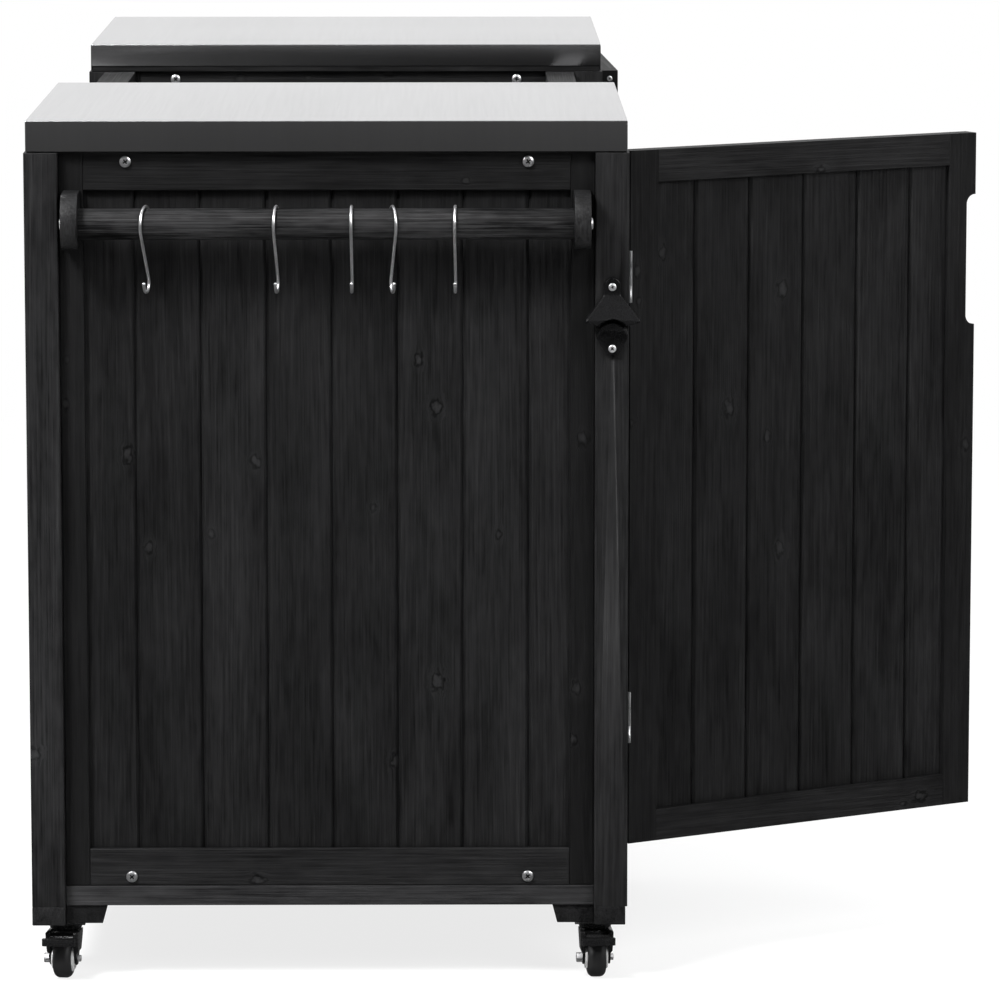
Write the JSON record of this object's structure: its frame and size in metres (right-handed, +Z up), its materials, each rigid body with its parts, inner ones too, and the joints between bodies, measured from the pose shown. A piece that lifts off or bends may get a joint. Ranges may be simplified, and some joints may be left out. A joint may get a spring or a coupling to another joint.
{
  "type": "outdoor kitchen island",
  "caption": "Black-stained timber outdoor kitchen island: boarded cabinets with steel worktops beside an open grill bay, with doors, a towel bar with hooks, a bottle opener and casters.",
  "frame": {"origin": "on the floor under the middle of the carcass", "axes": "+Z up, doors face -Y, towel bar on the -X end"},
  "size_m": [1.6198, 0.9716, 0.876],
  "materials": {
    "stained_wood": "satin charcoal stain",
    "worktop_steel": "brushed",
    "zinc": "bright zinc",
    "cast_black": "black enamel",
    "caster_black": "black paint",
    "wheel_rubber": "matte",
    "catch_plastic": "matte"
  },
  "bodies": {
    "island": {"worktop_cores": "stained_wood", "left_front_posts": "stained_wood", "left_back_posts": "stained_wood", "right_front_posts": "stained_wood", "right_back_posts": "stained_wood", "left_outer_panel_frame": "stained_wood", "left_outer_panel_boards": "stained_wood", "left_bay_panel_frame": "stained_wood", "left_bay_panel_boards": "stained_wood", "right_outer_panel_frame": "stained_wood", "right_outer_panel_boards": "stained_wood", "right_bay_panel_frame": "stained_wood", "right_bay_panel_boards": "stained_wood", "left_back_panel": "stained_wood", "right_back_panel": "stained_wood", "foot_blocks": "stained_wood", "skids": "stained_wood", "bottom_beams": "stained_wood", "front_bottom_rails": "stained_wood", "stretchers": "stained_wood", "cabinet_floors": "stained_wood", "cabinet_shelves": "stained_wood", "front_bay_rail": "stained_wood", "back_bay_rail": "stained_wood", "bay_slats": "stained_wood", "towel_bar": "stained_wood", "bar_brackets": "stained_wood", "left_worktop": "worktop_steel", "right_worktop": "worktop_steel", "panel_bolts": "zinc", "wood_screws": "zinc", "bottle_opener": "cast_black", "hinge_post_leaves": "zinc", "door_catches": "catch_plastic", "caster_plates": "caster_black"},
    "left_door": {"left_door_frame": "stained_wood", "left_door_boards": "stained_wood", "left_door_leaves": "zinc", "left_door_strike": "zinc"},
    "right_door": {"right_door_frame": "stained_wood", "right_door_boards": "stained_wood", "right_door_leaves": "zinc", "right_door_strike": "zinc"},
    "left_front_fork": {"left_front_fork": "caster_black"},
    "left_front_wheel": {"left_front_wheel": "wheel_rubber"},
    "left_front_brake": {"left_front_brake": "caster_black"},
    "left_back_fork": {"left_back_fork": "caster_black"},
    "left_back_wheel": {"left_back_wheel": "wheel_rubber"},
    "left_back_brake": {"left_back_brake": "caster_black"},
    "right_front_fork": {"right_front_fork": "caster_black"},
    "right_front_wheel": {"right_front_wheel": "wheel_rubber"},
    "right_front_brake": {"right_front_brake": "caster_black"},
    "right_back_fork": {"right_back_fork": "caster_black"},
    "right_back_wheel": {"right_back_wheel": "wheel_rubber"},
    "right_back_brake": {"right_back_brake": "caster_black"},
    "s_hook_1": {"s_hook_1": "zinc"},
    "s_hook_2": {"s_hook_2": "zinc"},
    "s_hook_3": {"s_hook_3": "zinc"},
    "s_hook_4": {"s_hook_4": "zinc"},
    "s_hook_5": {"s_hook_5": "zinc"}
  },
  "joints": [
    {"name": "left_door_hinge", "type": "hinge", "parent": "island", "child": "left_door", "pos_m": [-0.74475, -0.3041, 0.134], "axis": [0, 0, -1], "range_deg": [-60, 105]},
    {"name": "right_door_hinge", "type": "hinge", "parent": "island", "child": "right_door", "pos_m": [0.74475, -0.3041, 0.134], "axis": [0, 0, 1], "range_deg": [-2.6, 162.4]},
    {"name": "left_front_swivel", "type": "hinge", "parent": "island", "child": "left_front_fork", "pos_m": [-0.748, -0.27, 0.049], "axis": [0, 0, 1], "continuous": true},
    {"name": "left_front_roll", "type": "hinge", "parent": "left_front_fork", "child": "left_front_wheel", "pos_m": [-0.75997, -0.27084, 0.02], "axis": [-0.0698, 0.9976, 0], "continuous": true},
    {"name": "left_front_brake_press", "type": "hinge", "parent": "left_front_fork", "child": "left_front_brake", "pos_m": [-0.76995, -0.27154, 0.043], "axis": [0.0698, -0.9976, 0], "range_deg": [0, 20], "stiffness_Nm_per_rad": 0.02, "springref_deg": -17.19},
    {"name": "left_back_swivel", "type": "hinge", "parent": "island", "child": "left_back_fork", "pos_m": [-0.748, 0.27, 0.049], "axis": [0, 0, 1], "continuous": true},
    {"name": "left_back_roll", "type": "hinge", "parent": "left_back_fork", "child": "left_back_wheel", "pos_m": [-0.75991, 0.27146, 0.02], "axis": [0.1219, 0.9925, 0], "continuous": true},
    {"name": "left_back_brake_press", "type": "hinge", "parent": "left_back_fork", "child": "left_back_brake", "pos_m": [-0.76984, 0.27268, 0.043], "axis": [-0.1219, -0.9925, 0], "range_deg": [0, 20], "stiffness_Nm_per_rad": 0.02, "springref_deg": -17.19},
    {"name": "right_front_swivel", "type": "hinge", "parent": "island", "child": "right_front_fork", "pos_m": [0.748, -0.27, 0.049], "axis": [0, 0, 1], "continuous": true},
    {"name": "right_front_roll", "type": "hinge", "parent": "right_front_fork", "child": "right_front_wheel", "pos_m": [0.76, -0.27, 0.02], "axis": [0, -1, 0], "continuous": true},
    {"name": "right_front_brake_press", "type": "hinge", "parent": "right_front_fork", "child": "right_front_brake", "pos_m": [0.77, -0.27, 0.043], "axis": [0, 1, 0], "range_deg": [0, 20], "stiffness_Nm_per_rad": 0.02, "springref_deg": -17.19},
    {"name": "right_back_swivel", "type": "hinge", "parent": "island", "child": "right_back_fork", "pos_m": [0.748, 0.27, 0.049], "axis": [0, 0, 1], "continuous": true},
    {"name": "right_back_roll", "type": "hinge", "parent": "right_back_fork", "child": "right_back_wheel", "pos_m": [0.76, 0.27, 0.02], "axis": [0, -1, 0], "continuous": true},
    {"name": "right_back_brake_press", "type": "hinge", "parent": "right_back_fork", "child": "right_back_brake", "pos_m": [0.77, 0.27, 0.043], "axis": [0, 1, 0], "range_deg": [0, 20], "stiffness_Nm_per_rad": 0.02, "springref_deg": -17.19},
    {"name": "s_hook_1_swing", "type": "hinge", "parent": "island", "child": "s_hook_1", "pos_m": [-0.799, 0.18, 0.775], "axis": [0, 1, 0], "range_deg": [-15, 60]},
    {"name": "s_hook_2_swing", "type": "hinge", "parent": "island", "child": "s_hook_2", "pos_m": [-0.799, 0.05, 0.775], "axis": [0, 1, 0], "range_deg": [-15, 60]},
    {"name": "s_hook_3_swing", "type": "hinge", "parent": "island", "child": "s_hook_3", "pos_m": [-0.799, -0.025, 0.775], "axis": [0, 1, 0], "range_deg": [-15, 60]},
    {"name": "s_hook_4_swing", "type": "hinge", "parent": "island", "child": "s_hook_4", "pos_m": [-0.799, -0.066, 0.775], "axis": [0, 1, 0], "range_deg": [-15, 60]},
    {"name": "s_hook_5_swing", "type": "hinge", "parent": "island", "child": "s_hook_5", "pos_m": [-0.799, -0.128, 0.775], "axis": [0, 1, 0], "range_deg": [-15, 60]}
  ]
}
